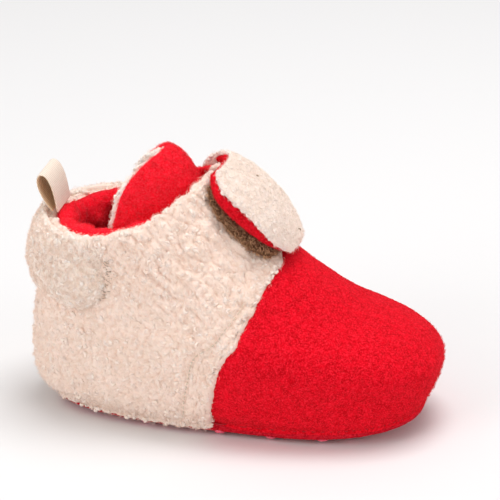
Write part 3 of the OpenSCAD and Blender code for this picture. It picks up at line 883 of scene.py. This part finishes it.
def outsole():
    loops = [sole_loop(r, SOLE_TOP) for r in np.linspace(0.04, 0.985, 26)]
    under_pile = smooth((np.abs((AROUND + 180) % 360 - 180) - 86) / 10)
    for v, h in ((0.0, -1.6), (0.0, -0.9), (0.002, -0.45)):
        loops.append(skin(v, AROUND, h - 0.9 * under_pile))
    loops[-1][:, 2] -= 0.6
    loops += [sole_loop(r, SOLE_BOTTOM) for r in np.linspace(0.992, 0.04, 42)]
    points, quads, caps = stack(np.stack(loops))
    n = normals(points, quads)
    ribs = 0.05 * noise(points / 0.5) + 0.12 * noise(points / 3.0)
    points = points + n * ribs[:, None] * (points[:, 2] > 0.7)[:, None]
    cloth = build("outsole_cloth", points, quads, sole_cloth, triangles=caps)
    place(cloth, "upper", "sole_fabric", "outsole")
    keep = ((points[:, 2] > 1.2) & (sole_reach(points[:, 0], points[:, 1]) > 0.93)).astype(float)
    fuzz = strands("outsole_fibres", points, quads, keep, 9000, 0.45, 0.06, 0.25, 1.0, felt_strand, 61)
    place(fuzz, "upper", "sole_fabric")


outsole()


def footbed():
    for name, node, slot_name, low, high, r_end, material in (
        ("footbed_foam", "insole_foam", "foam", SOLE_TOP + 0.12, SOLE_TOP + 2.7, 0.74, wadding),
        ("footbed_liner", "sock_liner", "lining", SOLE_TOP + 2.9, SOLE_TOP + 4.2, 0.84, fleece_lit),
    ):
        loops = [sole_loop(r, high) for r in np.linspace(0.04, r_end, 60)]
        loops += [sole_loop(r, low) for r in np.linspace(r_end, 0.04, 8)]
        points, quads, caps = stack(np.stack(loops))
        top = points[:, 2] > low + 0.5
        points = raised(points, quads, top * 0.25 * tufts(points, 1.8))
        pad = place(build(name, points, quads, material, triangles=caps), "upper", slot_name, node)


footbed()


def underside(x, y):
    """Point of the sole's underside."""
    return np.array([x, y, SOLE_BOTTOM + float(sole_rise(np.array(x), np.array(sole_reach(x, y))))])


DOT_PITCH, DOT_RADIUS, DOT_HEIGHT = 7.5, 1.5, 0.6
# Radius (as a share of DOT_RADIUS) and height, from the buried base to the crown.
DOT_PROFILE = [
    (1.0, -0.25), (1.02, 0.08), (0.97, 0.24), (0.84, 0.42),
    (0.62, 0.54), (0.32, 0.59), (0.04, 0.6),
]


def dot(x, y):
    """One grip dot, square to the underside, and lower where it would reach below the ground."""
    base = underside(x, y)
    dx = underside(x + 0.2, y) - underside(x - 0.2, y)
    dy = underside(x, y + 0.2) - underside(x, y - 0.2)
    down = unit(np.cross(dy, dx))
    dip = max(DOT_RADIUS * np.hypot(down[0], down[1]) - base[2] + SOLE_BOTTOM, 0)
    e1 = unit(dx)
    e2 = np.cross(down, e1)
    ring = circle(20, e1, e2)
    loops = []
    for r, h in DOT_PROFILE:
        h = h * (DOT_HEIGHT - dip) / DOT_HEIGHT if h > 0 else h
        loops.append(base + down * h + DOT_RADIUS * r * ring)
    return stack(np.stack(loops))


def dots():
    solids = []
    for i in range(-7, 8):
        for j in range(-4, 5):
            x, y = i * DOT_PITCH, (j + i % 2 / 2) * DOT_PITCH
            if sole_reach(x, y) < 1.03 - 2 * DOT_RADIUS / 55:
                solids.append(dot(x, y))
    points, quads, caps = joined(solids)
    grip = build("grip_dots_silicone", points, quads, silicone, triangles=caps)
    place(grip, "upper", "silicone", "grip_dots")


dots()


# ---------------------------------------------------------------- heel cuff
def cuff_end(v):
    """Angle where the cuff ends."""
    return lerp(128, 101, np.clip((v - CUFF_LOW) / 0.4, 0, 1) ** 0.5)


def cuff():
    v, s = axes(CUFF_LOW, 1.0, 110, 0, 1, 330)
    end = cuff_end(v)
    a = lerp(end, 360 - end, s)
    near_end = np.minimum(s, 1 - s) / lerp(0.07, 0.18, smooth((v - 0.72) / 0.22))
    low_fold = np.clip((v - CUFF_LOW + 0.008) / 0.045, 0, 1)
    arch = np.clip((v - CUFF_LOW + 0.12) / 0.61, 0.04, 0.95)
    profile = np.sqrt(1 - (1 - low_fold) ** 2) * np.sin(np.pi * arch) ** 0.5
    bulge = -0.5 + 4.0 * smooth(near_end) ** 0.6 * profile
    outer = skin(v, a, GAP + bulge)
    inner = skin(v, a, -0.9 + 0 * a)
    outer = filled(outer, inner, 1.5)
    points, faces, weight = shell(outer, inner, 4)
    height = tufts(points, 3.6)
    puff = 0.9 * noise(points / 9.0) + 0.5 * noise(points / 4.5)
    points = raised(points, faces, weight * (0.9 * (height - 0.5) + puff))
    # The cuff's pile and locks use the lighter copies: painted light.
    body = build("cuff_roll", points, faces, pile_cuff_lit, height)
    place(body, "upper", "pile", "heel_cuff")
    locks = curls("cuff_curls", points, faces, weight, 3000, 1.5, 1.05, pile_curl_cuff_lit, 43, 0.51)
    place(locks, "upper", "pile")
    fuzz = strands("cuff_fibres", points, faces, weight, 22000, 1.1, 0.09, 0.5, 0.8, pile_strand, 41)
    place(fuzz, "upper", "pile")


cuff()


# ---------------------------------------------------------------- tongue
def tongue_point(a, w, h):
    """Point of the tongue: w runs up its middle, a is the angle round from there, h the height over it."""
    a, w, h = np.broadcast_arrays(np.radians(a), np.asarray(w, float), np.asarray(h, float))
    line = np.array(tongue_line)
    c = curve(tongue_stations, tongue_line, w)
    along = unit(line[3] - line[0])
    out = np.array([along[1], -along[0]])
    half = lerp(9, 15, smooth(w * 1.6)) * SY
    depth = lerp(7, 37, smooth(w * 1.25))
    above, below = np.minimum(w + 0.02, 1), w - 0.02
    d = curve(tongue_stations, tongue_line, above) - curve(tongue_stations, tongue_line, below)
    front = unit(np.stack([d[..., 1], -d[..., 0]], axis=-1))
    radial = unit(np.stack([np.sin(a) / half, np.cos(a) / depth], axis=-1))
    drop = depth * (1 - np.cos(a))
    x = c[..., 0] - drop * out[0] + h * radial[..., 1] * front[..., 0]
    z = c[..., 1] - drop * out[1] + h * radial[..., 1] * front[..., 1]
    return np.stack([x * SX, -half * np.sin(a) - h * radial[..., 0], z * SZ], axis=-1)


def tongue_grid(h, margin, high_margin, rows, cols):
    w, c = axes(0, 1, rows, -1, 1, cols)
    w = (1 - high_margin / 60 - 0.16 * np.abs(c) ** 4) * w
    a = (82 - 3 * lerp(margin, high_margin, smooth((w - 0.5) / 0.3))) * c
    return tongue_point(a, w, h)


def tongue_face():
    outer, inner = (tongue_grid(h, 2.0, 1.8, 120, 190) for h in (-0.6, -2.6))
    outer = filled(outer, inner, 0.9)
    points, faces, weight = shell(outer, inner, 5, 0.9)
    points = raised(points, faces, weight * (0.35 * tufts(points, 1.3) + 0.4 * noise(points / 7.0)))
    body = build("tongue_face", points, faces, felt_lit_tongue)
    place(body, "tongue", "felt", "tongue_outer", "tongue_padding")
    keep = weight * (points[:, 2] > 48)
    fuzz = strands("tongue_fibres", points, faces, keep, 30000, 0.9, 0.08, 0.45, 0.6, tongue_strand_lit, 51)
    place(fuzz, "tongue", "felt")


def tongue_backing():
    outer, inner = (tongue_grid(h, 0.2, 1.2, 90, 150) for h in (-2.1, -4.2))
    points, faces, weight = shell(outer, inner, 5)
    height = tufts(points, 2.6)
    points = raised(points, faces, 0.9 * (height - 0.3))
    body = build("tongue_backing", points, faces, pile_soft, height)
    place(body, "tongue", "pile", "tongue_lining")
    edge = 0.25 + 0.75 * (weight < 0.95)
    locks = curls("tongue_backing_curls", points, faces, edge, 2400, 1.6, 1.0, pile_curl_soft, 55, 0.44)
    place(locks, "tongue", "pile")
    fuzz = strands("tongue_backing_fibres", points, faces, edge, 12000, 1.3, 0.08, 0.45, 0.7, pile_strand, 53)
    place(fuzz, "tongue", "pile")


tongue_face()
tongue_backing()


# ---------------------------------------------------------------- strap
# u runs across the strap from its low edge to its high one, s from its root to its free end.
def flap_angle(v, s):
    t = (v - FLAP_LOW) / (FLAP_HIGH - FLAP_LOW)
    return lerp(ROOT_ANGLE, lerp(23, 29, t), s)


def flap_reach(u, s):
    return s * (1 - 0.16 * np.abs(2 * u - 1) ** 4)


def flap_on_upper(u, s, h):
    """Points of the strap as if it lay on the upper."""
    u, s = np.broadcast_arrays(np.asarray(u, float), np.asarray(s, float))
    v = lerp(FLAP_LOW, FLAP_HIGH, u)
    return skin(v, flap_angle(v, flap_reach(u, s)), h)


def flap_bridge(u, s, h):
    """Points of the strap as it spans the throat, with a crown along its middle."""
    u, s = np.broadcast_arrays(np.asarray(u, float), np.asarray(s, float))
    reach = flap_reach(u, s)
    low = skin(FLAP_LOW + 0 * s, flap_angle(FLAP_LOW, reach), h)
    high = skin(FLAP_HIGH + 0 * s, flap_angle(FLAP_HIGH, reach), h)
    crown = (1.2 + 2.4 * np.clip(s, 0, 1) ** 2) * np.sin(np.pi * u)
    out = outward(FLAP_MIDDLE + 0 * s, flap_angle(FLAP_MIDDLE, s))
    return lerp(low, high, u[..., None]) + crown[..., None] * out


def sewn(obj, slot_name, *nodes):
    """A strap piece: its transform is baked into its mesh, and the CAD parts it replaces are hidden."""
    low, high, inward = (flap_bridge(u, s, FLAP_LINING_OUT) for u, s in ((0.0, 0.0), (1.0, 0.0), (0.5, 0.15)))
    hinge = unit(high - low)
    root = (low + high) / 2
    way = inward - root
    way = unit(way - hinge * np.dot(way, hinge))
    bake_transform(obj)
    if nodes:
        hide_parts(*nodes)
    return obj


def strap_face():
    u, s = axes(0, 1, 130, -0.15, 1, 170)
    sunk = smooth(-s / 0.14)[..., None]
    deep = smooth(-s / 0.05)[..., None]
    arch = 0.65 * np.sin(np.pi * np.clip(u, 0.04, 0.96)) ** 0.7
    dome = 0.35 + arch * np.sin(np.pi / 2 * np.clip(1.06 - s, 0, 1)) ** 0.25
    base = FLAP_LINING_OUT + GAP
    outer = lerp(flap_bridge(u, s, base + 0.8 * PILE * dome), flap_on_upper(u, s, 0.3), sunk)
    inner = lerp(flap_bridge(u, s, base), flap_on_upper(u, s, -1.6), deep)
    outer = filled(outer, inner, 1.0)
    points, faces, weight = shell(outer, inner, 5, 0.8)
    height = tufts(points, 2.8)
    points = raised(points, faces, weight * (0.45 * (height - 0.4) + 0.35 * noise(points / 6.0)))
    # The pile colour paints shade where this value is low; the strap's inner face is held at 0.25.
    body = build("strap_face", points, faces, pile_strap, 0.25 + 0.75 * height * weight)
    sewn(body, "pile_flap", "closure_flap")
    sewn(curls("strap_curls", points, faces, weight, 2200, 1.4, 0.9, pile_curl_strap, 77, 0.49), "pile_flap")
    fuzz = strands("strap_fibres", points, faces, weight, 16000, 1.1, 0.07, 0.45, 0.8, strap_strand, 71)
    sewn(fuzz, "pile_flap")


def strap_lining():
    """Red layer: thinner at the corner over the root and towards the free end, where the hook strip lies."""
    u, s = axes(0, 1, 130, 0, 1.03, 120)
    corner = smooth((0.45 - s) / 0.25)
    rise = u * (1 + 0.02 * smooth((0.8 - s) / 0.4) - 0.045 * corner)
    s = s * (1 - 0.13 * (1 - u) ** 3)
    outer = flap_bridge(rise, s, FLAP_LINING_OUT)
    under = flap_bridge(rise, s, FLAP_LINING_OUT - FLAP_LINING)
    thin = np.maximum(0.55 * smooth((s - 0.5) / 0.3), 0.85 * corner * smooth((u - 0.6) / 0.25))
    inner = lerp(flap_on_upper(np.minimum(rise, 1), s, TAPE_OUT + GAP), under, thin[..., None])
    points, faces, weight = shell(outer, inner, 4)
    points = raised(points, faces, 0.25 * tufts(points, 1.3))
    sewn(build("strap_lining", points, faces, felt), "felt", "flap_lining")
    edge = 0.1 + (weight < 1) * (weight > 0)
    fuzz = strands("strap_lining_fibres", points, faces, edge, 9000, 0.6, 0.07, 0.4, 0.6, felt_strand, 73)
    sewn(fuzz, "felt")


def hook_strip():
    u, s = axes(0.1, 0.94, 100, 0.66, 1.075, 60)
    tape_top = lerp(flap_on_upper(u, s, TAPE_OUT), flap_bridge(u, s, TAPE_OUT), 0.3)
    points, faces, _ = shell(tape_top, flap_on_upper(u, s, 0.6), 3)
    points = raised(points, faces, 0.25 * noise(points / 0.7))
    place(build("hook_strip", points, faces, hook_base), "strap", "hook", "hook_tape")
    everywhere = np.ones(len(points))
    hooks = strands("hook_strip_hooks", points, faces, everywhere, 7000, 1.3, 0.13, 0.6, 0.7, hook_strand, 75)
    place(hooks, "strap", "hook")


strap_face()
strap_lining()
hook_strip()


# ---------------------------------------------------------------- heel pull loop
def loop_outline(t):
    """Side view of the folded ribbon, t from one tail to the other."""
    bow = 3.3 * np.sin(np.pi * t**1.35) ** 0.8
    rise = 11.5 * np.sin(np.pi * t)
    return np.stack([np.cos(np.pi * t) * 0.9 - 0.35 * rise + bow * np.cos(np.pi * t) - 0.4, rise], axis=-1)


def pull_loop():
    low, high = (np.array(p) * 1000 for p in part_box("heel_loop"))
    ribbon = 0.6
    t = np.linspace(0.012, 0.988, 130)
    line = loop_outline(t)
    d = np.gradient(line, axis=0)
    n = unit(np.stack([d[:, 1], -d[:, 0]], axis=-1))
    centre = line - n * ribbon / 2
    base = np.array([-51.0 * SX, 0, 58.9 * SZ])
    y = np.linspace(low[1], high[1], 60)
    edge = 1 - 0.35 * np.clip((np.abs(y) - high[1] + 0.6) / 0.6, 0, 1) ** 2

    def sheet_at(offset):
        p = centre[:, None, :] + (n * offset)[:, None, :] * edge[None, :, None]
        return np.stack([base[0] + p[..., 0], np.broadcast_to(y, p.shape[:2]), base[2] + p[..., 1]], axis=-1)

    outer, inner = sheet_at(ribbon / 2), sheet_at(-ribbon / 2)
    points, faces, weight = shell(outer[:, ::-1], inner[:, ::-1], 3)
    body = build("loop_ribbon", points, faces, twill)
    body.data.materials.append(twill_inside)
    inside = weight[faces].mean(axis=1) < 0.4
    body.data.polygons.foreach_set("material_index", inside.astype(np.int32))
    place(body, "pull_loop", "ribbon", "heel_loop")


pull_loop()


# ---------------------------------------------------------------- stitches
def thread_row(name, stitches, radius, material, body, slot_name, node):
    """Short threads, each an arched twist between two points."""
    threads = []
    for a, b, out in stitches:
        axis = unit(b - a)
        side = unit(np.cross(axis, out))
        ring = circle(8, side, np.cross(side, axis))
        loops = []
        for t in np.linspace(0, 1, 9):
            arch = math.sin(math.pi * t)
            fat = radius * (1 + 0.12 * math.sin(18 * t)) * (0.7 + 0.3 * arch)
            loops.append(lerp(a, b, t) + out * (0.28 * arch - 0.15) + fat * ring)
        threads.append(stack(np.stack(loops)))
    points, quads, caps = joined(threads)
    place(build(name, points, quads, material, triangles=caps), body, slot_name, node)


def along_skin(v0, a0, v1, a1, h):
    """Both ends of a stitch at height h, and the way out between them."""
    out = outward(np.array((v0 + v1) / 2), np.array((a0 + a1) / 2))
    return skin(v0, a0, h), skin(v1, a1, h), out


def sole_seam():
    stitches = [along_skin(0.0, i * 3.0, 0.0, i * 3.0 + 1.9, -0.75) for i in range(120)]
    thread_row("seam_stitches", stitches, 0.2, thread_red, "upper", "red_thread", "sole_seam_thread")


def vamp_topstitch():
    stitches = []
    for side in (-1, 1):
        for i in range(26):
            v = lerp(0.06, 0.66, i / 26)
            w = v + 0.014
            a, b = (side * (float(seam_angle(station)) + 5) for station in (v, w))
            stitches.append(along_skin(v, a, w, b, -0.15))
    thread_row("top_stitches", stitches, 0.18, thread_cream, "upper", "thread", "vamp_topstitch")


def elastic_tacks():
    stitches = []
    loose = np.random.default_rng(8)
    for side in (-1, 1):
        for i in range(34):
            v = lerp(0.6, 0.88, (i + loose.random()) / 34)
            a = float(cuff_end(v)) - 1.5 + 1.1 * loose.normal()
            w = v + loose.uniform(-0.004, 0.016)
            b = a + 1.1 * loose.normal()
            stitches.append(along_skin(v, side * a, w, side * b, 0.35))
    thread_row("tack_stitches", stitches, 0.075, thread_brown, "upper", "thread", "elastic_tacks")


def strap_stitches():
    stitches = []
    top = FLAP_LINING_OUT + PILE + 0.25
    for u, s in ((0.07, 0.7), (0.72, 0.62)):
        out = outward(np.array(FLAP_MIDDLE), np.array(flap_angle(FLAP_MIDDLE, s)))
        stitches.append((flap_bridge(u, s, top), flap_bridge(u + 0.025, s, top), out))
    thread_row("strap_stitches", stitches, 0.17, thread_brown, "strap", "thread", "flap_stitches")


sole_seam()
vamp_topstitch()
elastic_tacks()
strap_stitches()

# ---------------------------------------------------------------- stage, lights and camera
floor_mesh = bpy.data.meshes.new("floor")
floor_mesh.from_pydata([(-4, -4, 0), (4, -4, 0), (4, 4, 0), (-4, 4, 0)], [], [(0, 1, 2, 3)])
floor = bpy.data.objects.new("floor", floor_mesh)
bpy.context.scene.collection.objects.link(floor)
paper = Nodes("paper_white", (0.81, 0.80, 0.80), 0.9)
paper.put("Specular IOR Level", 0.0)
floor_mesh.materials.append(paper.material)

world = bpy.data.worlds.new("studio")
bpy.context.scene.world = world
world.use_nodes = True
world.node_tree.nodes["Background"].inputs["Color"].default_value = (1, 1, 1, 1)
world.node_tree.nodes["Background"].inputs["Strength"].default_value = 0.52


def softbox(name, place_at, size, energy):
    """Square lamp aimed at the bootie."""
    light = bpy.data.lights.new(name, "AREA")
    light.shape = "SQUARE"
    light.size = size
    light.energy = energy
    obj = bpy.data.objects.new(name, light)
    obj.location = place_at
    obj.rotation_euler = (Vector((0, 0, 0.03)) - Vector(place_at)).to_track_quat("-Z", "Y").to_euler()
    bpy.context.scene.collection.objects.link(obj)


softbox("key", (0.12, 0.12, 1.0), 0.55, 6.5)
softbox("side", (1.1, -0.5, 0.55), 0.5, 2.7)
softbox("fill", (-0.85, -0.95, 0.55), 0.8, 5.9)

camera_data = bpy.data.cameras.new("camera")
camera = bpy.data.objects.new("camera", camera_data)
bpy.context.scene.collection.objects.link(camera)
azimuth, elevation, distance = math.radians(11.36), math.radians(22.65), 0.765
target = (0.0, 0.0, 0.035)
offset = Vector((
    math.sin(azimuth) * math.cos(elevation),
    -math.cos(azimuth) * math.cos(elevation),
    math.sin(elevation),
)) * distance
camera.location = Vector(target) + offset
camera.rotation_euler = (-offset).to_track_quat("-Z", "Y").to_euler()
camera_data.sensor_width = 36
camera_data.lens = 189.55
camera_data.shift_x = 0.0295
camera_data.shift_y = 0.0872
bpy.context.scene.camera = camera
bpy.context.scene.view_settings.view_transform = "Standard"
